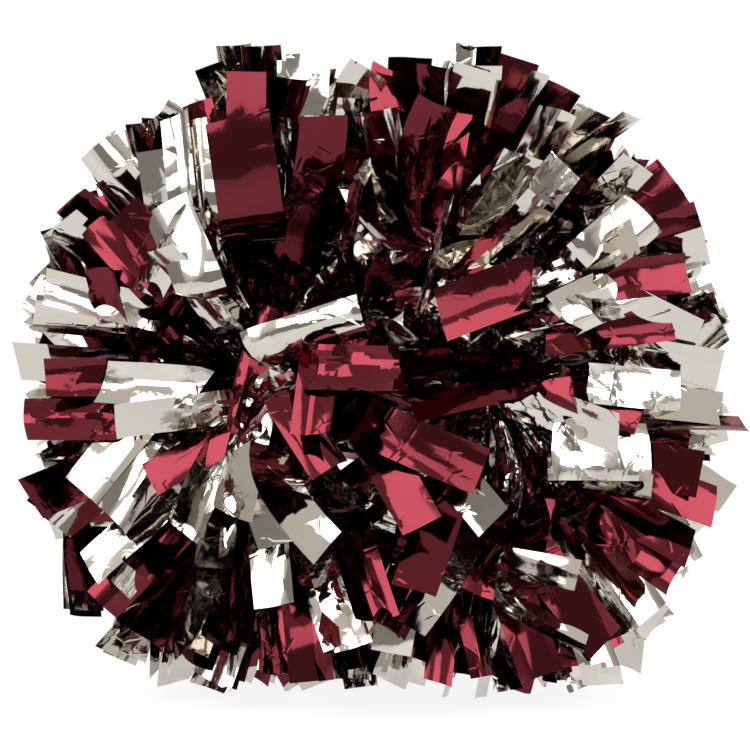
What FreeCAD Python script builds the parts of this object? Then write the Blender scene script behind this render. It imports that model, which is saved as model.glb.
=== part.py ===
"""Cheer pom pom with a baton handle.

A hollow plastic grip carries one rosette of slit metallic film at each end. A cord runs through the
grip and through the gathered middle of every film sheet, and its end knots pull both stacks of sheets
against the grip's end flanges. Each sheet is slit into strands from two opposite edges, and the strands
fan out all round the cord, from back over the hand to nearly straight out past the end of the grip.

Millimetres. +X runs along the grip towards the right rosette, +Z is up, and the origin is on the
surface that the pom pom rests on, under the middle of the grip.
"""

import FreeCAD, Part
import math
import os

Vector = FreeCAD.Vector

# Film sheets
SHEETS_PER_ROSETTE = 16
STRANDS_PER_SHEET = 32  # half of them from each slit edge
STRAND_WIDTH = 19.0
SLIT_GAP = 0.8
SHEET_THICKNESS = 0.5  # the solid's own thickness, which stands for the crinkled film
SHEET_PITCH = 0.8  # from one gathered sheet to the next along the cord
GATHER_RADIUS = 9.0  # where the gathered middle ends and the strands start
CORD_HOLE_RADIUS = 2.6
SHEET_TURN = 0.382  # how far each sheet is turned past the one before, in strand spacings

# Rosettes
ROSETTE_RADIUS = 160.0  # from the cord to the tips of the strands that stand square to it
HALF_LENGTH = 172.0  # from the middle of the grip to the furthest tips
CLEFT_HALF_WIDTH = 6.0  # the parting between the rosettes, through which a hand reaches the grip
CLEFT_DEPTH = 12.0  # how far the rosettes fall away at the parting
REST_HEIGHT = 146.0  # the cord's height when the lowest strands carry the pom pom
BACK_LEAN = -0.47  # cosine of the angle between the outward cord and the rearmost strands
FRONT_LEAN = 0.927  # the same for the foremost strands
END_LEANS = (FRONT_LEAN, 0.97, 0.99)  # the foremost sheet's strands take these in turn, to fill the end
NECK_LENGTH = 22.0  # the first stretch of a strand, which clears the end flange
NECK_ANGLE_BACK = 89.0
NECK_ANGLE_FRONT = 55.0
BULGE_BACK = 7.0
BULGE_FRONT = -8.0

# Grip
GRIP_HALF_LENGTH = 45.0
GRIP_RADIUS = 13.0
GRIP_WALL = 2.5
GRIP_RIB_COUNT = 7
GRIP_RIB_SPACING = 10.0
GRIP_RIB_RADIUS = 1.6
GRIP_RIB_PROUD = 0.8
FLANGE_RADIUS = 23.0
FLANGE_THICKNESS = 4.0
FLANGE_ROUND = 1.2
SPIGOT_LENGTH = 15.0
SPIGOT_CLEARANCE = 0.05
SPIGOT_WALL = 2.2
CORD_RADIUS = 1.5
CORD_CLEARANCE = 0.5
KNOT_RADIUS = 3.6
KNOT_WRAP_RADIUS = 0.75  # how thick the turn of cord round the knot stands
KNOT_WRAP_AXIS = Vector(0, 1, 1)
KNOT_TAIL_LENGTH = 10.8
KNOT_TAIL_RISE = (0.5, 0.3)  # how far the cord's cut end strays in Y and Z for each unit outward
WASHER_RADIUS = 8.0
WASHER_THICKNESS = 1.6
RUNNING_GAP = 0.3

FLANGE_FACE = GRIP_HALF_LENGTH + FLANGE_THICKNESS
STACK_START = FLANGE_FACE + RUNNING_GAP
STACK_END = STACK_START + (SHEETS_PER_ROSETTE - 1) * SHEET_PITCH + SHEET_THICKNESS
STACK_MIDDLE = (STACK_START + STACK_END) / 2
X_AXIS = Vector(1, 0, 0)
CORD_CENTRE = Vector(0, 0, REST_HEIGHT)


def between(start, end, share):
    return start + (end - start) * share


def strand_lean(sheet, strand):
    """How far a strand leans: the same all round a sheet, but for the foremost one, which fills the end."""
    if sheet == SHEETS_PER_ROSETTE - 1:
        return END_LEANS[strand % len(END_LEANS)]
    return between(BACK_LEAN, FRONT_LEAN, sheet / (SHEETS_PER_ROSETTE - 1))


def fan_profile(sheet, lean):
    """One strand's centre line as (distance along the cord, distance from it), from its root to its tip."""
    share = sheet / (SHEETS_PER_ROSETTE - 1)
    if lean >= 0:
        tip_x = STACK_MIDDLE + (HALF_LENGTH - STACK_MIDDLE) * min(1, lean / FRONT_LEAN)
        tip_r = ROSETTE_RADIUS * math.sqrt(1 - lean**2)
    else:
        tip_x = STACK_MIDDLE - (STACK_MIDDLE - CLEFT_HALF_WIDTH) * lean / BACK_LEAN
        tip_r = ROSETTE_RADIUS - CLEFT_DEPTH * (lean / BACK_LEAN) ** 2
    neck = math.radians(between(NECK_ANGLE_BACK, NECK_ANGLE_FRONT, share))
    root = (STACK_START + sheet * SHEET_PITCH, GATHER_RADIUS)
    neck_end = (root[0] + NECK_LENGTH * math.cos(neck), root[1] + NECK_LENGTH * math.sin(neck))
    run = math.hypot(tip_x - neck_end[0], tip_r - neck_end[1])
    across = ((tip_r - neck_end[1]) / run, -(tip_x - neck_end[0]) / run)
    bulge = between(BULGE_BACK, BULGE_FRONT, share)
    middle = (
        (neck_end[0] + tip_x) / 2 + across[0] * bulge,
        (neck_end[1] + tip_r) / 2 + across[1] * bulge,
    )
    return [root, neck_end, middle, (tip_x, tip_r)]


def outer_side(profile):
    """The profile again, one sheet thickness further out: straight along the cord at the root, and square
    to the strand everywhere else."""
    moved = [(profile[0][0] + SHEET_THICKNESS, profile[0][1])]
    for i in range(1, len(profile)):
        before, after = profile[i - 1], profile[min(i + 1, len(profile) - 1)]
        dx, dr = after[0] - before[0], after[1] - before[1]
        length = math.hypot(dx, dr)
        moved.append(
            (
                profile[i][0] + SHEET_THICKNESS * dr / length,
                profile[i][1] - SHEET_THICKNESS * dx / length,
            )
        )
    return moved


def half_width(radius):
    """Half a strand's width that far from the cord: gathered near the cord, full width further out."""
    room = radius * math.tan(math.pi / STRANDS_PER_SHEET) - SLIT_GAP / 2
    return min(STRAND_WIDTH / 2, room)


def place(x, radius, offset, turn):
    """A point of a strand: along the cord, out from it, and sideways from the strand's centre line."""
    y = radius * math.cos(turn) - offset * math.sin(turn)
    z = radius * math.sin(turn) + offset * math.cos(turn)
    return Vector(x, y, z + REST_HEIGHT)


def shortened(profile, turn):
    """The profile with its tip drawn back so that neither corner of the strand's end is under the floor."""
    middle, tip = profile[-2], profile[-1]
    corner = half_width(tip[1])
    deepest = tip[1] * math.sin(turn) - corner * abs(math.cos(turn))
    if deepest + REST_HEIGHT >= 0:
        return profile
    reach = (corner * abs(math.cos(turn)) - REST_HEIGHT) / math.sin(turn)
    share = (reach - middle[1]) / (tip[1] - middle[1])
    return profile[:-1] + [(between(middle[0], tip[0], share), reach)]


def polygon(points):
    return Part.Face(Part.makePolygon(points + points[:1]))


def gathered_faces(x, turns):
    """The two flat faces and the hole wall of the sheet's gathered middle."""
    corner_radius = GATHER_RADIUS / math.cos(math.pi / STRANDS_PER_SHEET)
    faces = []
    for side in (x, x + SHEET_THICKNESS):
        outer = [place(side, corner_radius, 0, t) for t in turns]
        inner = [place(side, CORD_HOLE_RADIUS, 0, t) for t in reversed(turns)]
        wires = [Part.makePolygon(edge + edge[:1]) for edge in (outer, inner)]
        faces.append(Part.Face(wires))
    for i, turn in enumerate(turns):
        following = turns[(i + 1) % len(turns)]
        near = [place(x, CORD_HOLE_RADIUS, 0, t) for t in (turn, following)]
        far = [place(x + SHEET_THICKNESS, CORD_HOLE_RADIUS, 0, t) for t in (following, turn)]
        faces.append(polygon(near + far))
    return faces


def strand_faces(profile, turn):
    """Both sides, both edges and the cut end of one strand, rooted on the gathered middle."""
    lower = shortened(profile, turn)
    upper = shortened(outer_side(profile), turn)
    root_half = GATHER_RADIUS * math.tan(math.pi / STRANDS_PER_SHEET)
    halves = [root_half] + [half_width(p[1]) for p in profile[1:]]
    rows = []
    for low, high, half in zip(lower, upper, halves):
        rows.append(
            [
                place(low[0], low[1], -half, turn),
                place(low[0], low[1], half, turn),
                place(high[0], high[1], half, turn),
                place(high[0], high[1], -half, turn),
            ]
        )
    faces = []
    for here, there in zip(rows, rows[1:]):
        faces.append(polygon([here[0], here[1], there[1], there[0]]))
        faces.append(polygon([here[2], here[3], there[3], there[2]]))
        for a, b in ((1, 2), (3, 0)):
            faces.append(polygon([here[a], here[b], there[b]]))
            faces.append(polygon([here[a], there[b], there[a]]))
    faces.append(polygon(rows[-1]))
    return faces


def film_sheet(sheet):
    """One slit film sheet of the right rosette, as one closed solid."""
    spacing = 2 * math.pi / STRANDS_PER_SHEET
    start = -math.pi / 2 + spacing * ((sheet * SHEET_TURN) % 1)
    corner_turns = [start + spacing * (i - 0.5) for i in range(STRANDS_PER_SHEET)]
    faces = gathered_faces(STACK_START + sheet * SHEET_PITCH, corner_turns)
    for i in range(STRANDS_PER_SHEET):
        profile = fan_profile(sheet, strand_lean(sheet, i))
        faces += strand_faces(profile, start + spacing * i)
    solid = Part.Solid(Part.Shell(faces))
    if solid.Volume < 0:
        solid.reverse()
    return solid


def ring(start, length, outer, inner=0.0):
    """A round bar or tube along the cord."""
    base = Vector(start, 0, REST_HEIGHT)
    solid = Part.makeCylinder(outer, length, base, X_AXIS)
    if inner:
        solid = solid.cut(Part.makeCylinder(inner, length, base, X_AXIS))
    return solid


def grip_tube():
    """The hollow barrel that the hand holds, with raised rings against slipping."""
    length = 2 * GRIP_HALF_LENGTH
    tube = ring(-GRIP_HALF_LENGTH, length, GRIP_RADIUS)
    for i in range(GRIP_RIB_COUNT):
        x = (i - (GRIP_RIB_COUNT - 1) / 2) * GRIP_RIB_SPACING
        centre = Vector(x, 0, REST_HEIGHT)
        rib_centre_radius = GRIP_RADIUS + GRIP_RIB_PROUD - GRIP_RIB_RADIUS
        tube = tube.fuse(Part.makeTorus(rib_centre_radius, GRIP_RIB_RADIUS, centre, X_AXIS))
    bore = ring(-GRIP_HALF_LENGTH, length, GRIP_RADIUS - GRIP_WALL)
    return tube.cut(bore).removeSplitter()


def end_flange():
    """The right end's flange: a rounded disc that backs the film, with a spigot inside the grip."""
    disc = ring(GRIP_HALF_LENGTH, FLANGE_THICKNESS, FLANGE_RADIUS)
    rims = [e for e in disc.Edges if e.BoundBox.YLength > FLANGE_RADIUS]
    disc = disc.makeFillet(FLANGE_ROUND, rims)
    spigot_radius = GRIP_RADIUS - GRIP_WALL - SPIGOT_CLEARANCE
    spigot_start = GRIP_HALF_LENGTH - SPIGOT_LENGTH
    spigot = ring(spigot_start, SPIGOT_LENGTH, spigot_radius, spigot_radius - SPIGOT_WALL)
    cord_way = ring(GRIP_HALF_LENGTH, FLANGE_THICKNESS, CORD_RADIUS + CORD_CLEARANCE)
    return disc.fuse(spigot).cut(cord_way).removeSplitter()


def retaining_washer():
    """The right end's washer, between the foremost sheet and the cord's knot."""
    start = STACK_END + RUNNING_GAP
    return ring(start, WASHER_THICKNESS, WASHER_RADIUS, CORD_RADIUS + CORD_CLEARANCE)


def tension_cord():
    """The cord through the grip, with a knot past each washer."""
    knot_start = STACK_END + RUNNING_GAP + WASHER_THICKNESS + RUNNING_GAP
    knot_centre = knot_start + KNOT_RADIUS
    cord = ring(-knot_centre, 2 * knot_centre, CORD_RADIUS)
    for side in (-1, 1):
        centre = Vector(side * knot_centre, 0, REST_HEIGHT)
        cord = cord.fuse(Part.makeSphere(KNOT_RADIUS, centre))
        wrap_middle = KNOT_RADIUS - KNOT_WRAP_RADIUS / 2
        cord = cord.fuse(Part.makeTorus(wrap_middle, KNOT_WRAP_RADIUS, centre, KNOT_WRAP_AXIS))
        tail_way = Vector(side, *KNOT_TAIL_RISE)
        cord = cord.fuse(Part.makeCylinder(CORD_RADIUS, KNOT_TAIL_LENGTH, centre, tail_way))
    return cord.removeSplitter()


def mirrored(shape):
    return shape.mirror(CORD_CENTRE, X_AXIS)


def save(shape, node):
    if not shape.isValid() or shape.Volume <= 0:
        raise ValueError(f"{node} is not a sound solid")
    shape.exportStep(os.path.join("parts", node + ".step"))


def main():
    os.makedirs("parts", exist_ok=True)
    save(grip_tube(), "grip_tube")
    save(tension_cord(), "tension_cord")
    ends = {"end_flange": end_flange(), "retaining_washer": retaining_washer()}
    for sheet in range(SHEETS_PER_ROSETTE):
        colour = ("maroon", "silver")[sheet % 2]
        ends[f"{colour}_film_{sheet // 2 + 1}"] = film_sheet(sheet)
    for name, shape in ends.items():
        save(shape, "right_" + name)
        save(mirrored(shape), "left_" + name)


main()
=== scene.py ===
"""Looks for a cheer pom pom: two rosettes of slit metallised film on a hidden baton grip.

Metres throughout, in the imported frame: +X runs along the grip towards the right rosette, +Z is up,
and the pom pom rests on z = 0. Each film sheet is one mesh of 32 strands that start in the gathered
middle on the cord. A strand is worked out in its rosette's own sense, with x growing outward from
the middle of the grip, and the left rosette's are turned over at the end.
"""

import math

import bpy
import numpy as np
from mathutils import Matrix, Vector


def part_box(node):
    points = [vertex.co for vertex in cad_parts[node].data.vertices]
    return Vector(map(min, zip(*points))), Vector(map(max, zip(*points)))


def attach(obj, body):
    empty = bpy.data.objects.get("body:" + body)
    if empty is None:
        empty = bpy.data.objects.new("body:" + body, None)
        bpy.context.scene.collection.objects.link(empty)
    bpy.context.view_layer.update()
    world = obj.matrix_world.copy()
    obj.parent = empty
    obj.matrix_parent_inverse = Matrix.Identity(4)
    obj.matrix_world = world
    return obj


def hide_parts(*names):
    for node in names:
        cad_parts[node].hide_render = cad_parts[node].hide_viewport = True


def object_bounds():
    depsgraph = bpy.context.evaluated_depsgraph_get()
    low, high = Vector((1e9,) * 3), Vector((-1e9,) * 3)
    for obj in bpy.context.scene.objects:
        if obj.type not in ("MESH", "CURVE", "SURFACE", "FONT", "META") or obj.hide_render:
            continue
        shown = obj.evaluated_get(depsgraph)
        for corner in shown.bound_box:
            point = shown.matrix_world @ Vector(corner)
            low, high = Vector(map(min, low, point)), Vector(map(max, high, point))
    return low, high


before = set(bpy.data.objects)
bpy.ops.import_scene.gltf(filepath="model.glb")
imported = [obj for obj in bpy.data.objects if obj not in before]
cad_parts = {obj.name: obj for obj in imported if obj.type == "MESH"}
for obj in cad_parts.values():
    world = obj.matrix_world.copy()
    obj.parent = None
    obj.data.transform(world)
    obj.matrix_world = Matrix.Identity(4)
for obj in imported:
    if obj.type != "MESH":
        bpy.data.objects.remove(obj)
cad_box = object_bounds()

# ---------------------------------------------------------------- sizes, in metres, and settings

SHEETS = 16  # in each rosette, maroon and silver in turn, from the flange outward
STRANDS = 32  # in each sheet
STRAND_LENGTH = 0.152
STRAND_WIDTH = 0.019
GATHER_RADIUS = 0.008
HOLE_RADIUS = 0.0026
COLUMNS = 9  # points across a strand
ROWS = 58  # points along a strand
STRAND_STEP = 0.37  # between the film patterns of neighbouring strands
PLEAT = STRAND_WIDTH / (COLUMNS - 1)
SHARP_EDGE = math.radians(13)  # film that bends by more than this shows a crease

BALL_RADIUS = 0.160
PARTING = 0.006  # how far short of the grip's middle the least mingled strands stop
OVERLAP = 0.042  # how far past it the most mingled ones reach
CLEFT_DEPTH = 0.012  # of the dip in the ball's surface above the parting
FLOOR_GAP = 0.0004
STACK_GAP = 0.0004  # between the flange and the first sheet
WASHER_GAP = 0.0006  # between the last sheet and the washer
TIP_MARGIN = 0.010  # from the end of the CAD box to the outermost tips
ROUND_ABOVE, WIDER_ASIDE = 0.157, 0.013  # most from the middle of the grip, in the upper half
RISING_FORWARD = 0.12  # how steeply the lowest tips rise towards the viewer
NO_LIMIT = 1.0  # for the strands picked out below

BACK_LEAN = -0.50  # cosine of the angle between the outward cord and the rearmost strands
FRONT_LEAN = 0.96
REAR_NECK, FRONT_NECK = 89, 52  # degrees from the cord at which strands start, rear to front sheet
BUNDLES = 74  # in each rosette: strands lie together in bundles, like loose pages
BUNDLE_PULL = 0.75  # how far a strand leaves its own direction for its bundle's
FACE_SPREAD = math.radians(46)  # of the turn of each bundle's faces away from square-on
MAROON_REACH = 0.90  # maroon strands curl in a little more than silver ones

# Most strands are swept out of a cone in front of each tie. The directions between its edge and the
# sweep's reach are squeezed together.
OPENING = math.radians(65)
SWEEP_REACH = math.radians(100)
SILVER_OPENING, MAROON_OPENING = 0.88, 1.07  # so that silver shows a little more
MAROON_ASIDE = 0.12  # a second, small sweep of the maroon strands
INNER_OPENING_CUT = 0.7  # the opening is smaller on the grip's side, which keeps the grip hidden
BACK_OPENING = math.radians(26)  # of a cone behind each tie
BACK_SWEEP_REACH = math.radians(80)
ROOT_OPENING = math.radians(69)  # of the cone in front, for the first stretch of each strand
ROOT_SWEEP_REACH = math.radians(106)

AIMED_AT = 0.75  # how far along it a strand's face is set
TWISTED_BY = 0.20  # how far along it a strand has taken its turn
WORN_FACETS = ((11, 6, 0.0021), (30, 9, 0.0005))  # rows, columns and height, near the tie
PLAIN_FACETS = (5, 4, 0.0006)
SHARPLY_FOLDED = 0.10  # the share of strands with one sharp fold
CREASE_PAIRS = 2  # slight ones, across each strand
HERO_CREASING = 0.7  # how much of that the strands picked out below have

CAMERA_ELEVATION = math.radians(5)
CAMERA_DISTANCE = 1.5
CAMERA_AIM = 0.150
FRAME_WIDTH = 0.349  # how much of the object's middle plane the picture takes in

COLOURS = ("maroon", "silver")  # of the sheets, in turn
FILM_LOOKS = {  # colour, a deeper shade of it, and roughness
    "maroon": ((0.140, 0.022, 0.031), (0.105, 0.014, 0.020), 0.075),
    "silver": ((0.60, 0.565, 0.515), (0.53, 0.50, 0.455), 0.06),
}
SOFTBOXES = (  # name, place, size across and up, and brightness
    ("left_softbox", (-1.2, -1.0, 0.95), (1.0, 1.1), 4.2),
    ("right_softbox", (1.3, -0.8, 0.75), (0.9, 1.0), 4.2),
    ("top_softbox", (0.0, -0.95, 1.25), (0.9, 0.5), 4.2),
    ("front_softbox", (0.0, -1.5, 0.78), (1.4, 0.36), 3.0),
)
SIDE_GLOWS = ((-0.68, -0.57, 0.46), (0.76, -0.47, 0.35))  # softer light round the side softboxes
FLOOR_REACH = 6.0

rng = np.random.default_rng(20)


def corner(node, side):
    """A node's lowest (0) or highest (1) corner, as numbers."""
    return np.array(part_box(node)[side])


cord_height = float((corner("grip_tube", 0)[2] + corner("grip_tube", 1)[2]) / 2)
stack_start = float(corner("right_end_flange", 1)[0]) + STACK_GAP
stack_end = float(corner("right_retaining_washer", 0)[0]) - WASHER_GAP
flange_radius = float(corner("right_end_flange", 1)[2]) - cord_height
half_length = float(cad_box[1][0]) - TIP_MARGIN
tie = np.array([(stack_start + stack_end) / 2, 0.0, cord_height])

look = np.array([0.0, math.cos(CAMERA_ELEVATION), -math.sin(CAMERA_ELEVATION)])
look_up = np.array([0.0, math.sin(CAMERA_ELEVATION), math.cos(CAMERA_ELEVATION)])


# ---------------------------------------------------------------- small vector helpers


def unit(v):
    """v at length 1, row by row."""
    return v / np.maximum(np.linalg.norm(v, axis=-1, keepdims=True), 1e-9)


def smooth(x, low, high):
    """0 below low, 1 above high, and a smooth step between."""
    t = np.clip((x - low) / (high - low), 0, 1)
    return t * t * (3 - 2 * t)


def turned(v, axis, angle):
    """v turned about a unit axis, row by row."""
    c, s = np.cos(angle)[..., None], np.sin(angle)[..., None]
    along = np.sum(v * axis, axis=-1, keepdims=True)
    return v * c + np.cross(axis, v) * s + axis * along * (1 - c)


# ---------------------------------------------------------------- where the strands go


def reach_along(aims, overlap):
    """How far it is from the tie to the ball's surface, or to the parting and its overlap."""
    outward = np.maximum(aims[:, 0], 0)
    inward = np.maximum(-aims[:, 0], 1e-6)
    out = np.hypot(aims[:, 1], aims[:, 2])
    surface = 1 / np.hypot(outward / (half_length - tie[0]), out / BALL_RADIUS)
    surface = np.minimum(surface, BALL_RADIUS - CLEFT_DEPTH * np.clip(inward / 0.35, 0, 1) ** 2)
    return np.minimum(surface, (tie[0] + overlap) / inward)


def swept_aside(aims, opening=OPENING, until=SWEEP_REACH, towards=-look):
    """Directions from the tie, with those that point one way pushed aside to leave an opening."""
    cosine = np.clip(aims @ towards, -1, 1)
    angle = np.arccos(cosine)
    sideways = unit(aims - cosine[:, None] * towards)
    level = 1 - smooth(np.abs(sideways @ look_up), 0.35, 0.7)
    inward = 1 - smooth(sideways[:, 0], -0.8, 0.1)
    opening = opening * (1 - INNER_OPENING_CUT * inward * level)
    new = np.where(angle < until, opening + angle * (1 - opening / until), angle)
    return np.cos(new)[:, None] * towards + np.sin(new)[:, None] * sideways


def bundle_plan():
    """The directions that one rosette's strands gather towards, and each bundle's face and curl."""
    i = np.arange(BUNDLES) + 0.5
    lean = BACK_LEAN + (0.98 - BACK_LEAN) * i / BUNDLES
    azimuth = i * math.pi * (3 - math.sqrt(5)) + rng.normal(0, 0.12, BUNDLES)
    out = np.sqrt(1 - lean**2)
    aims = np.stack([lean, out * np.cos(azimuth), out * np.sin(azimuth)], 1)
    aims = swept_aside(unit(aims))
    aims = swept_aside(aims, BACK_OPENING, BACK_SWEEP_REACH, look)
    in_front = aims @ -look > -0.35
    front_face, back_face = rng.normal(0, FACE_SPREAD, BUNDLES), rng.uniform(-0.8, 0.8, BUNDLES)
    face = np.where(in_front, front_face, back_face)
    return {"aims": aims, "face": face, "curl": rng.normal(0, 0.22, (BUNDLES, 3))}


def random_folds(n):
    """Creases across each strand, as (where along it, by how much, how askew): pairs of slight ones
    that turn it one way and back, and in a few strands a sharp one."""
    folds = []
    for _ in range(CREASE_PAIRS):
        by = np.radians(rng.normal(0, 10, n))
        where = rng.uniform(0.25, 0.85, n)
        folds.append((where, by, rng.normal(0, 0.5, n)))
        where = np.minimum(where + rng.uniform(0.05, 0.2, n), 0.97)
        folds.append((where, -by, rng.normal(0, 0.5, n)))
    sharp = np.where(rng.random(n) < SHARPLY_FOLDED, np.radians(rng.uniform(35, 110, n)), 0)
    where = rng.uniform(0.55, 0.85, n)
    folds.append((where, sharp * rng.choice([-1, 1], n), rng.normal(0, 0.25, n)))
    return folds


def root_x(sheet):
    """Where along the cord a sheet is gathered."""
    return stack_start + (stack_end - stack_start) * sheet / (SHEETS - 1)


def sheet_plan(sheet, bundles):
    """Everything that sets the strands of one sheet: one value or one row for each strand."""
    n = STRANDS
    share = sheet / (SHEETS - 1)
    azimuth = 2 * np.pi * (np.arange(n) + (sheet * 0.382) % 1) / n
    lean = BACK_LEAN + (FRONT_LEAN - BACK_LEAN) * share + rng.normal(0, 0.05, n)
    lean = np.clip(lean, BACK_LEAN, 0.985)
    tip_azimuth = azimuth + rng.normal(0, 0.08, n)
    out = np.sqrt(1 - lean**2)
    opening = OPENING * (SILVER_OPENING if sheet % 2 else MAROON_OPENING)
    own = np.stack([lean, out * np.cos(tip_azimuth), out * np.sin(tip_azimuth)], 1)
    own = swept_aside(own, opening)
    own = swept_aside(own, BACK_OPENING, BACK_SWEEP_REACH, look)
    nearest = np.argmax(own @ bundles["aims"].T, axis=1)
    pull = BUNDLE_PULL * min(1, 0.25 + share * 3)
    aims = unit(own * (1 - pull) + bundles["aims"][nearest] * pull)
    if sheet % 2 == 0:
        aims = swept_aside(aims, opening * MAROON_ASIDE)
    overlap = rng.uniform(-PARTING, OVERLAP, n)
    length = reach_along(aims, overlap) * (1 + rng.uniform(-0.06, 0.02, n))
    length = length * (1.0 if sheet % 2 else MAROON_REACH)
    neck = np.radians(REAR_NECK + (FRONT_NECK - REAR_NECK) * share + rng.normal(0, 4, n))
    around = np.stack([np.zeros(n), np.cos(azimuth), np.sin(azimuth)], 1)
    first = np.cos(neck)[:, None] * np.array([1, 0, 0]) + np.sin(neck)[:, None] * around
    return {
        "azimuth": azimuth,
        "aims": aims,
        "root": np.array([root_x(sheet), 0, cord_height]) + GATHER_RADIUS * around,
        "first": swept_aside(unit(first * 0.5 + aims), ROOT_OPENING, ROOT_SWEEP_REACH),
        "tip": tie + aims * length[:, None],
        "last": unit(aims + bundles["curl"][nearest] + rng.normal(0, 0.07, (n, 3))),
        "length": STRAND_LENGTH + rng.uniform(-0.006, 0.002, n),
        "width": np.full(n, STRAND_WIDTH),
        "face": bundles["face"][nearest] + rng.normal(0, 0.28, n),
        "cup": rng.normal(0, 0.0009, n),
        "waves": rng.uniform(1.2, 2.2, n),
        "wave_height": rng.uniform(0.0008, 0.0026, n),
        "spread_at": rng.uniform(0.25, 0.55, n),
        "crumple": rng.uniform(0.45, 1.0, n) ** 2,
        "worn": 0.6 * rng.random(n) ** 5,
        "crumple_to": rng.uniform(0.4, 1.2, n),
        "folds": random_folds(n),
        "cut": rng.normal(0, 0.09, n),
        "normal": np.zeros((n, 3)),
        "overlap": overlap,
        "taken": np.zeros(n, bool),
    }


def kept_clear(plan):
    """Tips moved off the floor, out of the parting, and inside the ball's round top."""
    tip, n = plan["tip"].copy(), len(plan["tip"])
    middle = np.array([0, 0, cord_height])
    away = tip - middle
    distance = np.linalg.norm(away, axis=1)
    most = ROUND_ABOVE + WIDER_ASIDE * (away[:, 0] / distance) ** 6
    most = np.where((away[:, 2] > 0) & (plan["overlap"] < NO_LIMIT), most, NO_LIMIT)
    tip = middle + away * np.minimum(1, most / distance)[:, None]
    lowest = rng.uniform(0.001, 0.012, n) + RISING_FORWARD * np.maximum(-tip[:, 1], 0)
    tip[:, 2] = np.maximum(tip[:, 2], lowest)
    tip[:, 0] = np.maximum(tip[:, 0], -plan["overlap"])
    return tip


# ---------------------------------------------------------------- one strand's centre line


def bezier(p, t):
    """Points of many cubic curves: p is (strands, 4, 3), t is (samples,)."""
    a, b, c, d = (p[:, i, None, :] for i in range(4))
    t = t[None, :, None]
    return a * (1 - t) ** 3 + 3 * b * t * (1 - t) ** 2 + 3 * c * t**2 * (1 - t) + d * t**3


def centre_lines(plan):
    """Curves from root to tip with each strand's own length, as (strands, ROWS, 3)."""
    root, tip = plan["root"], plan["tip"]
    length = plan["length"]
    chord = np.linalg.norm(tip - root, axis=1)
    too_far = np.minimum(1, 0.985 * length / chord)[:, None]
    tip = root + (tip - root) * too_far
    low, high = np.full(len(root), 0.002), np.full(len(root), 0.2)
    t = np.linspace(0, 1, 24)
    for _ in range(14):
        pull = (low + high) / 2
        p = np.stack(
            [root, root + plan["first"] * pull[:, None], tip - plan["last"] * pull[:, None], tip], 1
        )
        got = np.linalg.norm(np.diff(bezier(p, t), axis=1), axis=2).sum(1)
        low, high = np.where(got < length, pull, low), np.where(got < length, high, pull)
    dense = bezier(p, np.linspace(0, 1, 90))
    steps = np.linalg.norm(np.diff(dense, axis=1), axis=2)
    lines = np.empty((len(root), ROWS, 3))
    for i, line in enumerate(dense):
        way = np.concatenate([[0], np.cumsum(steps[i])])
        even = np.linspace(0, way[-1], ROWS)
        for axis in range(3):
            lines[i, :, axis] = np.interp(even, way, line[:, axis])
    return lines


def carried_frame(lines):
    """Tangent and width direction at each row, the width carried along without twist."""
    tangent = unit(np.gradient(lines, axis=1))
    out = lines[:, 0] - np.array([0, 0, cord_height])
    out[:, 0] = 0
    width = np.cross(np.array([1.0, 0, 0]), out)
    widths = np.empty_like(lines)
    for row in range(ROWS):
        t = tangent[:, row]
        width = unit(width - np.sum(width * t, axis=1, keepdims=True) * t)
        widths[:, row] = width
    return tangent, widths


def facing_turn(plan, tangent, widths):
    """The turn that each strand needs to show its face as its plan asks."""
    row = int(ROWS * AIMED_AT)
    t, w = tangent[:, row], widths[:, row]
    square_on = unit(np.cross(t, look))
    chosen = unit(np.cross(plan["normal"], t))
    given = np.any(plan["normal"], axis=1)
    target = np.where(given[:, None], chosen, square_on)
    across = np.sum(np.cross(w, target) * t, axis=1)
    wanted = np.arctan2(across, np.sum(w * target, axis=1)) + np.where(given, 0, plan["face"])
    return (wanted + np.pi / 2) % np.pi - np.pi / 2


def facets(count, rows, columns):
    """Random heights from -1 to 1 on a coarse grid, in flat facets between its points."""
    coarse = rng.uniform(-1, 1, (count, rows, columns))
    at_row = np.linspace(0, rows - 1, ROWS)
    at_column = np.linspace(0, columns - 1, COLUMNS)
    r0 = np.minimum(at_row.astype(int), rows - 2)
    c0 = np.minimum(at_column.astype(int), columns - 2)
    fr = (at_row - r0)[None, :, None]
    fc = (at_column - c0)[None, None, :]
    a = coarse[:, r0][:, :, c0]
    b = coarse[:, r0 + 1][:, :, c0]
    c = coarse[:, r0][:, :, c0 + 1]
    d = coarse[:, r0 + 1][:, :, c0 + 1]
    lower = a + (b - a) * fr + (d - b) * fc
    upper = a + (c - a) * fc + (d - c) * fr
    return np.where(fr > fc, lower, upper)


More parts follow.
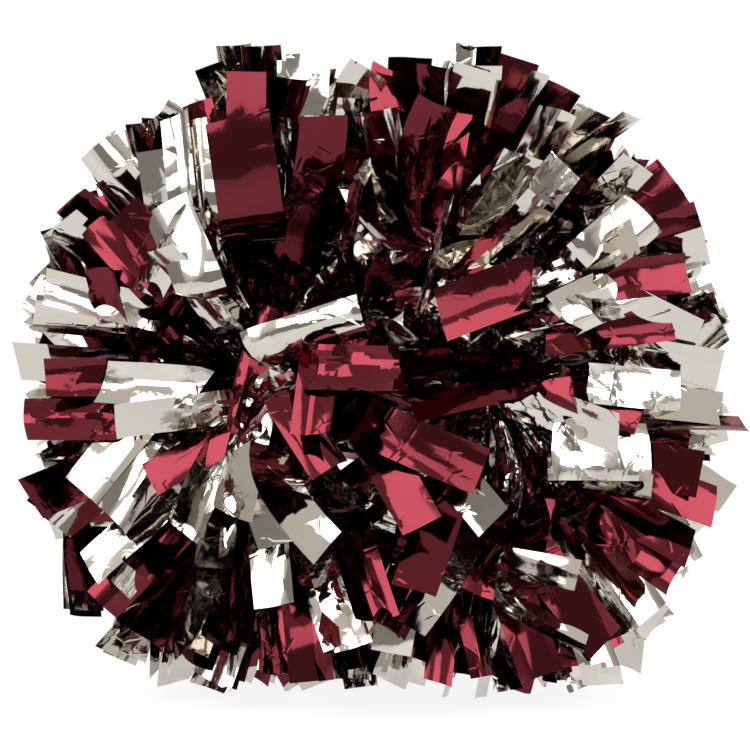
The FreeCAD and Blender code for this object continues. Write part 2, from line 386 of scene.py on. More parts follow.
def strand_points(plan):
    """Every point of every strand, as (strands, ROWS, COLUMNS, 3)."""
    n = len(plan["root"])
    plan["tip"] = kept_clear(plan)
    lines = centre_lines(plan)
    tangent, widths = carried_frame(lines)
    share = np.linspace(0, 1, ROWS)[None, :]
    turn = facing_turn(plan, tangent, widths)
    twist = turn[:, None] * smooth(share, 0.0, TWISTED_BY)
    widths = turned(widths, tangent, twist)
    normal = np.cross(tangent, widths)

    u = np.linspace(-1, 1, COLUMNS)[None, None, :]
    full = plan["width"][:, None] / 2
    gathered = GATHER_RADIUS * math.tan(math.pi / STRANDS)
    opened = np.clip(share / plan["spread_at"][:, None], 0, 1) ** 0.8
    half = gathered + (full - gathered) * opened
    lateral = half[:, :, None] * u

    fold = np.where(np.arange(COLUMNS) % 2, 1.0, -1.0)[None, None, :]
    uneven = rng.uniform(0.4, 1.3, (n, 1, COLUMNS))
    spare = np.sqrt(np.clip(1 - (half / full) ** 2, 0, 1))
    pleat_height = PLEAT / 2 * spare * smooth(share, 0.0, 0.12)
    height = fold * uneven * pleat_height[:, :, None]

    fade = 1 - smooth(share, plan["crumple_to"][:, None] * 0.4, plan["crumple_to"][:, None])
    wear = smooth(share, 0.02, 0.10) * (0.10 + 0.90 * fade) * plan["crumple"][:, None]
    for rows, columns, size in WORN_FACETS:
        height = height + facets(n, rows, columns) * wear[:, :, None] * size
    rows, columns, size = PLAIN_FACETS
    height = height + facets(n, rows, columns) * size
    level_at = 0.25 - AIMED_AT * plan["waves"]
    wave = np.sin(2 * np.pi * (share * plan["waves"][:, None] + level_at[:, None]))
    height = height + (wave * plan["wave_height"][:, None] * smooth(share, 0.1, 0.4))[:, :, None]
    height = height + plan["cup"][:, None, None] * (u**2) * smooth(share, 0.3, 0.8)[:, :, None] * 2

    points = (
        lines[:, :, None, :]
        + widths[:, :, None, :] * lateral[..., None]
        + normal[:, :, None, :] * height[..., None]
    )
    slant = plan["cut"][:, None, None] * lateral * smooth(share, 0.9, 1.0)[:, :, None]
    points = points + tangent[:, :, None, :] * slant[..., None]
    points = folded(plan, points, lines, tangent, widths, lateral)
    return settled(points, plan["overlap"])


def folded(plan, points, lines, tangent, widths, lateral):
    """Strands turned about each of their creases: everything past the crease moves."""
    every = np.arange(len(points))
    along = np.linspace(0, 1, ROWS)[None, :, None]
    for where, by, skew in plan["folds"]:
        row = (where * (ROWS - 1)).astype(int)
        axis = unit(widths[every, row] + tangent[every, row] * skew[:, None])[:, None, None, :]
        hinge = points[every, row, COLUMNS // 2][:, None, None, :]
        reach = along * plan["length"][:, None, None] - skew[:, None, None] * lateral
        past = reach > (where * plan["length"])[:, None, None]
        moved = turned(points - hinge, axis, past * by[:, None, None])
        points = moved + hinge
    return points


def settled(points, overlap):
    """Points kept above the floor, clear of the flange, and near enough to their own rosette."""
    count = len(points)
    floor = FLOOR_GAP + rng.uniform(0, 0.003, (count, 1, 1))
    points[..., 2] = np.maximum(points[..., 2], floor)
    radius = np.hypot(points[..., 1], points[..., 2] - cord_height)
    near = 1 - smooth(radius, flange_radius + 0.001, flange_radius + 0.008)
    least = -overlap[:, None, None] - 0.004
    least = least + (stack_start - least) * near
    points[..., 0] = np.maximum(points[..., 0], least)
    return points


# ---------------------------------------------------------------- strands that the eye goes to

# One line each: rosette; colour; where its tip is seen, across and up from the middle of the grip,
# in millimetres; the heading of its last stretch as seen, in degrees from the right; what its last
# stretch mirrors, or how far it is turned from face-on, in degrees; its width in millimetres; how
# crumpled it is, from 0 to 1; and a reach from the tie, in millimetres, which sets how near the
# viewer the tip is. A reach over the strand's length still brings the tip forward, and the strand
# then stops a little short of it.
HEROES = [
    ("left", "maroon", -58, 125, 92, "darkest", 29, 0.35, 165),
    ("left", "silver", -38, 123, 92, 58, 19, 0.40, 156),
    ("left", "maroon", -23, 128, 90, "plain", 21, 0.15, 169),
    ("right", "maroon", 12, 88, 98, 66, 15, 0.80, 134),
    ("left", "maroon", -4, 96, 88, 64, 15, 0.80, 136),
    ("left", "silver", -2, 147, 50, "plain", 20, 0.10, 162),
    ("left", "silver", -31, 157, 90, "dark", 20, 0.30, 162),
    ("left", "maroon", -40, 145, 75, "plain", 17, 0.20, 159),
    ("left", "silver", -77, 149, 112, "plain", 14, 0.10, 158),
    ("left", "silver", -66, 157, 98, "plain", 16, 0.20, 162),
    ("left", "silver", -53, 158, 95, "plain", 18, 0.20, 163),
    ("left", "maroon", -60, 145, 90, "dark", 18, 0.20, 158),
    ("left", "silver", -95, 123, 100, "left", 14, 0.30, 156),
    ("left", "silver", -86, 123, 97, "left", 18, 0.40, 154),
    ("left", "silver", -76, 125, 95, 50, 19, 0.60, 155),
    ("left", "maroon", -84, 131, 105, "dark", 17, 0.20, 157),
    ("left", "silver", -100, 129, 150, "plain", 14, 0.10, 158),
    ("left", "silver", -129, 112, 128, "dark", 20, 0.10, 156),
    ("left", "silver", -122, 98, 128, "plain", 20, 0.10, 152),
    ("left", "silver", -102, 109, 100, "dark", 18, 0.30, 150),
    ("left", "maroon", -141, 86, 135, "plain", 18, 0.20, 155),
    ("left", "silver", -145, 75, 140, "plain", 18, 0.15, 155),
    ("left", "maroon", -121, 78, 132, "darkest", 24, 0.15, 164),
    ("left", "maroon", -132, 74, 132, "left", 13, 0.10, 150),
    ("left", "silver", -109, 42, 238, "plain", 13, 0.05, 140),
    ("left", "silver", -98, 83, 114, "left", 23, 0.25, 166),
    ("left", "silver", -85, 67, 118, 70, 11, 0.30, 140),
    ("left", "maroon", -141, 45, 120, "plain", 16, 0.15, 150),
    ("left", "maroon", -129, 56, 105, "plain", 13, 0.15, 150),
    ("left", "silver", -153, 46, 165, "dark", 16, 0.40, 156),
    ("left", "silver", -159, 33, 172, "plain", 18, 0.30, 155),
    ("left", "silver", -166, 10, 178, "plain", 19, 0.10, 150),
    ("left", "silver", -126, 2, 176, "left", 19, 0.90, 140),
    ("left", "maroon", -153, 5, 178, "dark", 17, 0.50, 150),
    ("left", "maroon", -165, -19, 187, "left", 19, 0.90, 150),
    ("left", "maroon", -161, -54, 202, "plain", 22, 0.05, 152),
    ("left", "silver", -135, -51, 232, "left", 21, 0.10, 144),
    ("left", "silver", -122, -62, 235, "left", 19, 0.30, 146),
    ("left", "maroon", -104, -47, 215, "left", 17, 0.40, 140),
    ("left", "maroon", -110, -89, 237, "plain", 19, 0.15, 150),
    ("left", "silver", -76, -86, 263, "plain", 17, 0.05, 146),
    ("left", "silver", -50, -78, 282, "dark", 22, 0.10, 142),
    ("left", "silver", -23, -76, 310, "right", 24, 0.50, 146),
    ("left", "silver", -13, -121, 290, "top", 22, 1.00, 154),
    ("left", "maroon", -64, -121, 265, "plain", 14, 0.20, 152),
    ("left", "silver", -53, -135, 268, 60, 16, 0.40, 156),
    ("left", "maroon", -40, -135, 272, "left", 16, 0.50, 156),
    ("left", "maroon", -30, -140, 274, "dark", 20, 0.20, 158),
    ("left", "silver", -20, -138, 285, 45, 14, 0.60, 158),
    ("left", "silver", -8, -134, 290, "plain", 14, 0.10, 156),
    ("left", "silver", -68, -136, 262, 70, 12, 0.30, 157),
    ("left", "silver", -87, -124, 250, "plain", 18, 0.10, 154),
    ("left", "maroon", -106, -119, 240, "plain", 18, 0.10, 155),
    ("left", "silver", -133, -86, 225, "left", 18, 0.60, 154),
    ("left", "silver", -121, -96, 232, 40, 18, 0.70, 152),
    ("left", "maroon", -128, -103, 225, "dark", 18, 0.20, 156),
    ("left", "maroon", -81, -132, 250, "plain", 14, 0.20, 156),
    ("left", "silver", -6, 28, 15, "plain", 21, 0.70, 122),
    ("left", "maroon", -44, 34, 70, "dark", 17, 0.9, 128),
    ("left", "maroon", 12, 7, 2, "right", 21, 1.00, 128),
    ("left", "maroon", -29, -24, 265, "top", 17, 0.30, 136),
    ("left", "maroon", 49, -41, 338, "front", 21, 0.00, 150),
    ("left", "maroon", 30, 16, 12, 55, 20, 0.90, 126),
    ("left", "maroon", 36, -6, 350, 60, 20, 0.90, 126),
    ("right", "maroon", 14, 20, 170, -55, 20, 0.90, 114),
    ("right", "maroon", 16, -10, 185, 60, 20, 0.90, 112),
    ("right", "silver", 70, 105, 62, 35, 19, 0.70, 160),
    ("right", "silver", 90, 102, 52, -30, 20, 0.80, 162),
    ("right", "silver", 78, 86, 48, 40, 20, 0.80, 160),
    ("right", "silver", 122, 72, 32, -35, 20, 0.90, 172),
    ("right", "silver", 112, 38, 16, 40, 19, 0.80, 165),
    ("right", "silver", 112, -26, -20, 30, 19, 0.90, 165),
    ("left", "silver", -66, -62, 262, 30, 20, 0.80, 172),
    ("left", "silver", -46, -104, 275, -25, 20, 0.70, 160),
    ("left", "silver", -96, -66, 235, 30, 19, 0.70, 168),
    ("left", "silver", -104, 60, 132, 50, 17, 0.60, 175),
    ("left", "silver", -120, -20, 190, 35, 18, 0.80, 172),
    ("left", "maroon", 22, -67, 300, "top", 19, 0.10, 146),
    ("left", "silver", 56, -60, 315, "dark", 18, 0.30, 152),
    ("left", "maroon", -21, -42, 300, "plain", 19, 0.30, 136),
    ("left", "maroon", 0, -108, 290, "plain", 20, 0.15, 152),
    ("right", "maroon", 31, 33, 197, "front", 24, 0.20, 104),
    ("right", "maroon", 21, 150, 75, "plain", 24, 0.05, 160),
    ("right", "maroon", 7, 146, 70, "right", 20, 0.30, 158),
    ("right", "maroon", 30, 130, 60, "plain", 20, 0.10, 155),
    ("right", "silver", 16, 153, 85, "plain", 20, 0.10, 162),
    ("right", "silver", 49, 157, 84, "plain", 20, 0.10, 162),
    ("right", "silver", 41, 158, 86, "dark", 12, 0.10, 163),
    ("right", "maroon", 37, 126, 80, "left", 19, 0.30, 152),
    ("right", "maroon", 54, 120, 50, "plain", 20, 0.10, 150),
    ("right", "maroon", 67, 151, 75, "dark", 18, 0.20, 160),
    ("right", "silver", 72, 147, 68, "plain", 18, 0.10, 159),
    ("right", "silver", 105, 128, 60, "plain", 22, 0.10, 156),
    ("right", "silver", 86, 129, 62, "plain", 18, 0.15, 155),
    ("right", "maroon", 88, 138, 55, "plain", 17, 0.20, 158),
    ("right", "silver", 120, 126, 38, 60, 16, 0.10, 158),
    ("right", "silver", 122, 104, 48, 30, 19, 0.70, 168),
    ("right", "maroon", 138, 97, 38, "dark", 20, 0.15, 155),
    ("right", "maroon", 146, 85, 35, "dark", 18, 0.20, 155),
    ("right", "silver", 105, 90, 28, 62, 18, 0.50, 150),
    ("right", "silver", 86, 78, 30, 66, 18, 0.70, 144),
    ("right", "silver", 128, 79, 38, "right", 24, 0.25, 150),
    ("right", "silver", 155, 65, 17, "plain", 19, 0.05, 153),
    ("right", "maroon", 151, 76, 20, "plain", 18, 0.20, 155),
    ("right", "maroon", 144, 53, 8, "right", 18, 0.40, 150),
    ("right", "silver", 126, 46, 18, "right", 22, 0.70, 146),
    ("right", "maroon", 138, 31, 8, "dark", 20, 0.20, 148),
    ("right", "silver", 143, 22, 12, 55, 14, 0.10, 150),
    ("right", "silver", 160, 7, -8, "plain", 20, 0.20, 152),
    ("right", "silver", 151, 17, -30, "plain", 18, 0.40, 152),
    ("right", "silver", 130, -34, -6, "right", 26, 0.90, 146),
    ("right", "silver", 129, -50, -12, "plain", 13, 0.10, 144),
    ("right", "maroon", 123, -14, -20, "right", 18, 0.30, 142),
    ("right", "silver", 142, -3, -5, "right", 18, 0.90, 148),
    ("right", "silver", 159, -12, -8, "plain", 18, 0.20, 153),
    ("right", "maroon", 171, -24, -5, 66, 16, 0.10, 157),
    ("right", "maroon", 151, -42, -10, "dark", 21, 0.10, 151),
    ("right", "maroon", 155, -59, -22, "right", 20, 0.10, 153),
    ("right", "maroon", 147, -77, -30, "plain", 20, 0.10, 153),
    ("right", "silver", 121, -82, -48, 55, 16, 0.30, 150),
    ("right", "maroon", 138, -92, -36, "right", 18, 0.15, 154),
    ("right", "silver", 130, -107, -55, "right", 19, 0.50, 155),
    ("right", "silver", 114, -117, -62, 35, 18, 0.70, 155),
    ("right", "silver", 95, -90, -12, "plain", 16, 0.10, 148),
    ("right", "maroon", 107, -121, -52, "dark", 20, 0.15, 155),
    ("right", "silver", 98, -121, -25, "plain", 12, 0.10, 154),
    ("right", "maroon", 20, -98, 250, "plain", 20, 0.10, 150),
    ("right", "maroon", 48, -98, 265, "plain", 20, 0.10, 148),
    ("right", "maroon", 5, -112, 240, "plain", 20, 0.10, 154),
    ("right", "silver", 16, -114, 230, "plain", 14, 0.15, 154),
    ("right", "silver", 8, -126, 262, "dark", 18, 0.20, 157),
    ("right", "maroon", 30, -138, 264, "plain", 13, 0.10, 157),
    ("right", "maroon", 39, -135, 268, "plain", 16, 0.10, 155),
    ("right", "maroon", 50, -137, 280, "right", 14, 0.20, 156),
    ("right", "silver", 63, -143, 286, "plain", 12, 0.20, 158),
    ("right", "maroon", 75, -138, 288, "dark", 20, 0.20, 156),
]


MM = 0.001
CENTRAL = 0.65  # cosine of the angle from the viewer within which a strand starts straight
FORWARD = 0.62  # how much of that nearness is kept, but for the tuft in the middle
TUFT = -0.02  # a tip further than this on the grip's side of its tie is in that tuft
MIRRORED = {  # the direction of what a flat strand can mirror
    "dark": (0.0, -1.0, 0.12),
    "darkest": (0.0, -1.0, 0.30),
    "floor": (0.0, -0.65, -0.75),
    "ceiling": (0.35, -0.35, 0.80),
    "left": (-1.2, -1.0, 0.80),
    "right": (1.3, -0.8, 0.60),
    "top": (0.0, -0.95, 1.10),
    "front": (0.0, -1.5, 0.63),
}


def hero_tip(hero):
    """Where a hero's tip is, worked out from where it is seen and how far it reaches."""
    word, _, across, up, *_, reach = hero
    side = 1 if word == "right" else -1
    home = np.array([side * tie[0], 0, tie[2]])
    seen = np.array([across * MM, 0, cord_height]) + look_up * up * MM
    camera = np.array([0, 0, CAMERA_AIM]) - look * CAMERA_DISTANCE
    aside = np.linalg.norm(seen - home)
    forward = math.sqrt(max((reach * MM) ** 2 - aside**2, 0))
    if (seen - home)[0] * side > TUFT:
        forward *= FORWARD
    tip = seen + (camera - seen) * forward / CAMERA_DISTANCE
    return tip * np.array([side, 1, 1])


def place_heroes(word, plans):
    """Gives each hero of one rosette the strand of its colour that points nearest to its way."""
    side = 1 if word == "right" else -1
    for hero in HEROES:
        if hero[0] != word:
            continue
        _, colour, _, up, heading, shows, width, crumple, _ = hero
        tip = hero_tip(hero)
        aim = unit(tip - tie)
        best = None
        for sheet, plan in enumerate(plans):
            if COLOURS[sheet % 2] != colour:
                continue
            match = np.where(plan["taken"], -2, plan["aims"] @ aim)
            if best is None or match.max() > best[0]:
                best = (match.max(), plan, int(match.argmax()))
        plan, i = best[1:]
        plan["taken"][i] = True
        plan["overlap"][i] = NO_LIMIT
        plan["tip"][i] = tip
        first = unit(plan["first"][i] * 0.35 + aim)
        if aim @ -look > CENTRAL:
            plan["first"][i] = first
        else:
            plan["first"][i] = swept_aside(first[None], ROOT_OPENING, ROOT_SWEEP_REACH)[0]
        turn = math.radians(heading)
        flat = np.array([math.cos(turn), 0, 0]) + look_up * math.sin(turn)
        if isinstance(shows, str):
            if shows == "plain":
                shows = "floor" if up > -10 else "ceiling"
            mirrored = unit(np.array(MIRRORED[shows]) + rng.normal(0, 0.05, 3))
            normal = unit(mirrored - look)
            plan["normal"][i] = normal * np.array([side, 1, 1])
            last = flat - look * (normal @ flat) / (normal @ look)
        else:
            plan["face"][i] = math.radians(shows)
            last = flat - look * 0.35
        plan["last"][i] = unit(last * np.array([side, 1, 1]))
        plan["spread_at"][i] = 0.45
        plan["width"][i] = width * MM
        plan["length"][i] = STRAND_LENGTH
        plan["crumple"][i] = crumple
        plan["wave_height"][i] *= 0.25 + 0.75 * crumple
        plan["worn"][i] = 0.35 * crumple**2
        plan["crumple_to"][i] = 0.45 + 0.65 * crumple
        for _, by, _ in plan["folds"][:-1]:
            by[i] *= HERO_CREASING * (0.4 + 0.6 * crumple)
        sharp = plan["folds"][-1][1]
        sharp[i] = 0


# ---------------------------------------------------------------- meshes


def sheet_mesh(name, points, plan, sheet, side):
    """One film sheet: a pleated ring round the cord, and the strands that grow from its edge."""
    azimuth = plan["azimuth"]
    vertices = points.reshape(-1, 3).copy()
    index = np.arange(len(vertices)).reshape(points.shape[:3])
    quads = np.stack(
        [index[:, :-1, :-1], index[:, :-1, 1:], index[:, 1:, 1:], index[:, 1:, :-1]], -1
    ).reshape(-1, 4)

    spacing = 2 * np.pi / STRANDS
    ring_turn = (azimuth[:, None] + np.linspace(-0.5, 0.5, COLUMNS)[None, :] * spacing).ravel()
    inner = np.stack(
        [
            np.full(len(ring_turn), root_x(sheet)),
            HOLE_RADIUS * np.cos(ring_turn),
            cord_height + HOLE_RADIUS * np.sin(ring_turn),
        ],
        1,
    )
    first = index[:, 0, :].ravel()
    start = len(vertices)
    inner_index = start + np.arange(len(inner))
    following = np.roll(np.arange(len(inner)), -1)
    ring = np.stack([inner_index, inner_index[following], first[following], first], -1)
    vertices = np.concatenate([vertices, inner])
    faces = np.concatenate([quads, ring])
    if side < 0:
        vertices[:, 0] *= -1
        faces = faces[:, ::-1]

    mesh = bpy.data.meshes.new(name)
    mesh.from_pydata(vertices.tolist(), [], faces.tolist())
    across = np.broadcast_to(np.linspace(-0.5, 0.5, COLUMNS) * STRAND_WIDTH, points.shape[:3])
    along = (np.linspace(0, 1, ROWS) * STRAND_LENGTH)[None, :, None]
    along = np.broadcast_to(along, points.shape[:3])
    which = np.broadcast_to(np.arange(STRANDS)[:, None, None] * STRAND_STEP, points.shape[:3])
    film = np.stack([across, along, which], -1).reshape(-1, 3)
    film = np.concatenate([film, np.zeros((len(inner), 3))]).astype(np.float32)
    attribute = mesh.attributes.new("film", "FLOAT_VECTOR", "POINT")
    attribute.data.foreach_set("vector", film.ravel())
    worn = np.broadcast_to(plan["worn"][:, None, None], points.shape[:3]).ravel()
    worn = np.concatenate([worn, np.zeros(len(inner))]).astype(np.float32)
    mesh.attributes.new("worn", "FLOAT", "POINT").data.foreach_set("value", worn)
    mesh.validate()
    mesh.shade_smooth()
    mesh.set_sharp_from_angle(angle=SHARP_EDGE)
    return mesh


def add_sheet(plan, sheet, side, material):
    """The visual piece of one film sheet, on its rosette's body."""
    word = "right" if side > 0 else "left"
    colour = COLOURS[sheet % 2]
    number = sheet // 2 + 1
    points = strand_points(plan)
    mesh = sheet_mesh(f"{word}_{colour}_strands_{number}", points, plan, sheet, side)
    mesh.materials.append(material)
    piece = bpy.data.objects.new(mesh.name, mesh)
    bpy.context.scene.collection.objects.link(piece)
    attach(piece, f"{word}_rosette")
    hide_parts(f"{word}_{colour}_film_{number}")


# ---------------------------------------------------------------- materials


class Nodes:
    """A short way to write a node tree."""

    def __init__(self, tree):
        self.tree = tree

    def add(self, kind, settings=None, **inputs):
        node = self.tree.nodes.new(kind)
        for key, value in (settings or {}).items():
            setattr(node, key, value)
        for key, value in inputs.items():
            self.put(node, key, value)
        return node

    def put(self, node, key, value):
        socket = node.inputs[int(key[1:]) if key[0] == "i" and key[1:].isdigit() else key]
        if isinstance(value, bpy.types.NodeSocket):
            self.tree.links.new(value, socket)
        else:
            socket.default_value = value

    def math(self, operation, a, b=0.0, clamp=False):
        node = self.add("ShaderNodeMath", {"operation": operation, "use_clamp": clamp}, i0=a, i1=b)
        return node.outputs[0]

    def noise(self, place, **inputs):
        return self.add("ShaderNodeTexNoise", Vector=place, **inputs).outputs["Fac"]

    def vector(self, operation, a, **inputs):
        return self.add("ShaderNodeVectorMath", {"operation": operation}, i0=a, **inputs).outputs[0]

    def ramp(self, value, low, high, start, end):
        """A smooth step from start to end, as the value goes from low to high."""
        node = self.add("ShaderNodeMapRange", {"interpolation_type": "SMOOTHSTEP"}, Value=value)
        limits = {"From Min": low, "From Max": high, "To Min": start, "To Max": end}
        for key, number in limits.items():
            self.put(node, key, number)
        return node.outputs["Result"]


def new_material(name):
    material = bpy.data.materials.new(name)
    material.use_nodes = True
    nodes = Nodes(material.node_tree)
    return material, nodes, material.node_tree.nodes["Principled BSDF"]


def film_material(name, colour, shade, roughness):
    """Metallised film: mirror-bright, with fine lengthwise lines, a few fold marks, and creases that
    grow towards the tie, where its colour is darkened as painted shade. Worn strands are creased all
    along."""
    material, nodes, shader = new_material(name)
    film = nodes.add("ShaderNodeAttribute", {"attribute_name": "film"}).outputs["Vector"]
    split = nodes.add("ShaderNodeSeparateXYZ", i0=film)
    along = split.outputs["Y"]

    near_tie = nodes.ramp(along, 0.010, 0.080, 1.0, 0.0)
    worn = nodes.add("ShaderNodeAttribute", {"attribute_name": "worn"}).outputs["Fac"]
    creasing = nodes.math("MAXIMUM", near_tie, nodes.math("ADD", worn, 0.015))

    stretched = nodes.add("ShaderNodeMapping", i0=film, Scale=(1.0, 0.03, 1.0)).outputs[0]
    lines = nodes.noise(stretched, Scale=1600.0, Detail=2.0)
    long_cells = nodes.add("ShaderNodeMapping", i0=film, Scale=(1.0, 0.5, 1.0)).outputs[0]
    cells = nodes.add("ShaderNodeTexVoronoi", {"feature": "F1"}, Vector=long_cells, Scale=180.0)
    dents = nodes.noise(film, Scale=60.0, Detail=3.0, Distortion=0.8)
    crease_height = nodes.math("MULTIPLY", cells.outputs["Distance"], creasing)
    dent_height = nodes.math("MULTIPLY", dents, creasing)
    height = nodes.math("ADD", nodes.math("MULTIPLY", crease_height, 0.45), dent_height)

    to_edge = {"feature": "DISTANCE_TO_EDGE"}
    edges = nodes.add("ShaderNodeTexVoronoi", to_edge, Vector=film, Scale=75.0)
    fold = nodes.ramp(edges.outputs["Distance"], 0.0, 0.07, 1.0, 0.0)
    places = nodes.noise(film, Scale=45.0, Detail=1.0)
    marks = nodes.math("MULTIPLY", fold, nodes.ramp(places, 0.52, 0.62, 0.0, 0.09))
    height = nodes.math("ADD", height, marks)

    bump = nodes.add("ShaderNodeBump", Strength=0.5, Distance=0.0016, Height=height)
    fine = nodes.add(
        "ShaderNodeBump", Strength=0.12, Distance=0.0001, Height=lines, Normal=bump.outputs[0]
    )
    tilt = nodes.vector("SUBTRACT", cells.outputs["Color"], i1=(0.5,) * 3)
    tilt = nodes.vector("SCALE", tilt, Scale=creasing)
    tilt = nodes.vector("SCALE", tilt, Scale=0.33)
    facing = nodes.vector("NORMALIZE", nodes.vector("ADD", fine.outputs[0], i1=tilt))

    patches = nodes.noise(film, Scale=25.0, Detail=1.0)
    blend = nodes.add("ShaderNodeMix", {"data_type": "RGBA"})
    nodes.tree.links.new(nodes.math("MULTIPLY", patches, 0.9, clamp=True), blend.inputs[0])
    blend.inputs[6].default_value = (*colour, 1)
    blend.inputs[7].default_value = (*shade, 1)
    # painted shade: the film's colour darkened to half at the tie, for the shade among the gathered
    # strands
    painted_tie_shade = nodes.ramp(along, 0.0, 0.045, 0.5, 1.0)
    nodes.put(shader, "Base Color", nodes.vector("SCALE", blend.outputs[2], Scale=painted_tie_shade))
    rough = nodes.math("ADD", nodes.math("MULTIPLY", lines, 0.06), roughness - 0.03)
    nodes.put(shader, "Roughness", rough)
    nodes.put(shader, "Metallic", 1.0)
    nodes.put(shader, "Normal", facing)
    return material


def plastic_material(name, colour, roughness, grain):
    """Moulded plastic with a fine grain."""
    material, nodes, shader = new_material(name)
    place = nodes.add("ShaderNodeTexCoord").outputs["Object"]
    speckle = nodes.noise(place, Scale=1800.0, Detail=3.0)
    cloud = nodes.noise(place, Scale=60.0, Detail=2.0)
    bump = nodes.add("ShaderNodeBump", Strength=grain, Distance=0.0002, Height=speckle)
    nodes.put(shader, "Base Color", (*colour, 1))
    rough = nodes.math("ADD", nodes.math("MULTIPLY", cloud, 0.2), roughness - 0.1)
    nodes.put(shader, "Roughness", rough)
    nodes.put(shader, "Normal", bump.outputs[0])
    return material


def cord_material():
    """Braided nylon: two sets of fine ridges that cross, with painted shade that darkens the grooves
    between them.
    """
    material, nodes, shader = new_material("braided_cord")
    place = nodes.add("ShaderNodeTexCoord").outputs["Object"]
    ridges = []
    for turn in (0.6, -0.6):
        tilted = nodes.add("ShaderNodeMapping", i0=place, Rotation=(0.0, turn, turn)).outputs[0]
        wave = nodes.add("ShaderNodeTexWave", Vector=tilted, Scale=420.0, Distortion=0.6)
        ridges.append(wave.outputs["Fac"])
    height = nodes.math("MAXIMUM", *ridges)
    bump = nodes.add("ShaderNodeBump", Strength=0.6, Distance=0.0003, Height=height)
    # painted shade: the grooves between the ridges darker, the ridge tops lighter
    shade = nodes.add("ShaderNodeMix", {"data_type": "RGBA"})
    nodes.tree.links.new(height, shade.inputs[0])
    shade.inputs[6].default_value = (0.10, 0.10, 0.095, 1)
    shade.inputs[7].default_value = (0.42, 0.41, 0.39, 1)
    nodes.put(shader, "Base Color", shade.outputs[2])
    nodes.put(shader, "Roughness", 0.8)
    nodes.put(shader, "Normal", bump.outputs[0])
    return material


def dress(node, material):
    """A carried-over CAD node gets its material."""
    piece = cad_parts[node]
    for place in piece.material_slots:
        place.material = material


# ---------------------------------------------------------------- studio


def studio_world():
    """Pale behind, below and overhead, and dark on the viewer's side but for two glows."""
    world = bpy.data.worlds.new("studio")
    bpy.context.scene.world = world
    world.use_nodes = True
    nodes = Nodes(world.node_tree)
    way = nodes.add("ShaderNodeTexCoord").outputs["Generated"]
    split = nodes.add("ShaderNodeSeparateXYZ", i0=way)

    behind = nodes.ramp(split.outputs["Y"], 0.0, 0.35, 0.0, 0.85)
    ceiling = nodes.ramp(split.outputs["Z"], 0.38, 0.58, 0.32, 0.80)
    below = nodes.ramp(split.outputs["Z"], -0.16, -0.06, 0.85, 0.0)
    room = nodes.math("MAXIMUM", nodes.math("MAXIMUM", behind, below), ceiling)
    dot = {"operation": "DOT_PRODUCT"}
    for glow_way in SIDE_GLOWS:
        nearness = nodes.add("ShaderNodeVectorMath", dot, i0=way, i1=glow_way).outputs["Value"]
        room = nodes.math("MAXIMUM", room, nodes.ramp(nearness, 0.78, 0.98, 0.0, 1.1))
    light = world.node_tree.nodes["Background"]
    tone = nodes.add("ShaderNodeMix", {"data_type": "RGBA", "blend_type": "MULTIPLY"})
    tone.inputs[0].default_value = 1.0
    nodes.tree.links.new(room, tone.inputs[6])
    tone.inputs[7].default_value = (1.0, 0.95, 0.88, 1)
    seen = nodes.add("ShaderNodeLightPath").outputs["Is Camera Ray"]
    backdrop = nodes.add("ShaderNodeMix", {"data_type": "RGBA"})
    nodes.tree.links.new(seen, backdrop.inputs[0])
    nodes.tree.links.new(tone.outputs[2], backdrop.inputs[6])
    backdrop.inputs[7].default_value = (1, 1, 1, 1)
    nodes.put(light, "Color", backdrop.outputs[2])
    nodes.put(light, "Strength", 1.0)


def softbox(name, place, size, brightness):
    """A large soft light that faces the pom pom."""
    light = bpy.data.lights.new(name, "AREA")
    light.shape = "RECTANGLE"
    light.size, light.size_y = size
    light.energy = brightness * math.pi * size[0] * size[1]
    lamp = bpy.data.objects.new(name, light)
    bpy.context.scene.collection.objects.link(lamp)
    lamp.location = place
    towards = np.array([0, 0, cord_height]) - np.array(place)
    lamp.rotation_euler = Vector(towards).to_track_quat("-Z", "Y").to_euler()
    lamp.visible_camera = False


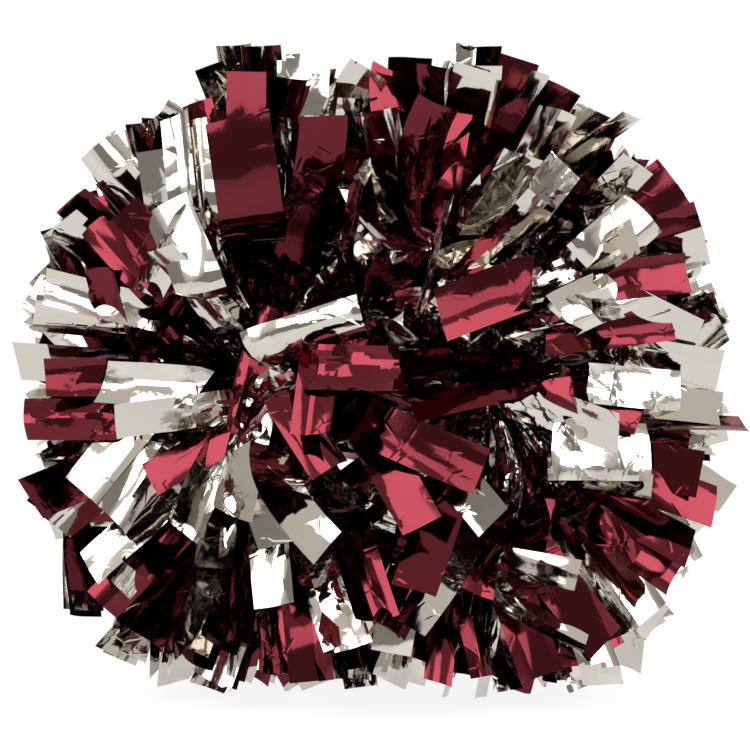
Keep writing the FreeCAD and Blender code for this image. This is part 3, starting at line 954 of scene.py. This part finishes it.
def pale_floor():
    """A wide white floor that keeps a soft contact shadow."""
    mesh = bpy.data.meshes.new("floor")
    turns = ((-1, -1), (1, -1), (1, 1), (-1, 1))
    mesh.from_pydata([(FLOOR_REACH * x, FLOOR_REACH * y, 0) for x, y in turns], [], [(0, 1, 2, 3)])
    floor = bpy.data.objects.new("floor", mesh)
    bpy.context.scene.collection.objects.link(floor)
    material, nodes, shader = new_material("pale_floor")
    nodes.put(shader, "Base Color", (0.15, 0.15, 0.15, 1))
    nodes.put(shader, "Roughness", 0.9)
    nodes.put(shader, "Emission Color", (1, 1, 1, 1))
    nodes.put(shader, "Emission Strength", 0.87)
    mesh.materials.append(material)


def studio_camera():
    """The camera, in front of the pom pom and a little above it."""
    data = bpy.data.cameras.new("camera")
    camera = bpy.data.objects.new("camera", data)
    bpy.context.scene.collection.objects.link(camera)
    middle = np.array([0.0, 0.0, CAMERA_AIM])
    camera.location = middle - look * CAMERA_DISTANCE
    camera.rotation_euler = Vector(look).to_track_quat("-Z", "Y").to_euler()
    data.sensor_width = 36.0
    data.lens = data.sensor_width * CAMERA_DISTANCE / FRAME_WIDTH
    bpy.context.scene.camera = camera


# ---------------------------------------------------------------- the whole pom pom

film = {colour: film_material(f"{colour}_film", *FILM_LOOKS[colour]) for colour in COLOURS}
for side in (1, -1):
    bundles = bundle_plan()
    plans = [sheet_plan(sheet, bundles) for sheet in range(SHEETS)]
    place_heroes("right" if side > 0 else "left", plans)
    for sheet, plan in enumerate(plans):
        add_sheet(plan, sheet, side, film[COLOURS[sheet % 2]])

black = plastic_material("black_moulded_plastic", (0.012, 0.012, 0.013), 0.42, 0.25)
washer = plastic_material("washer_plastic", (0.03, 0.03, 0.032), 0.35, 0.1)
for node in ("grip_tube", "left_end_flange", "right_end_flange"):
    dress(node, black)
for node in ("left_retaining_washer", "right_retaining_washer"):
    dress(node, washer)
dress("tension_cord", cord_material())

studio_world()
pale_floor()
for settings in SOFTBOXES:
    softbox(*settings)
studio_camera()
bpy.context.scene.view_settings.view_transform = "Standard"
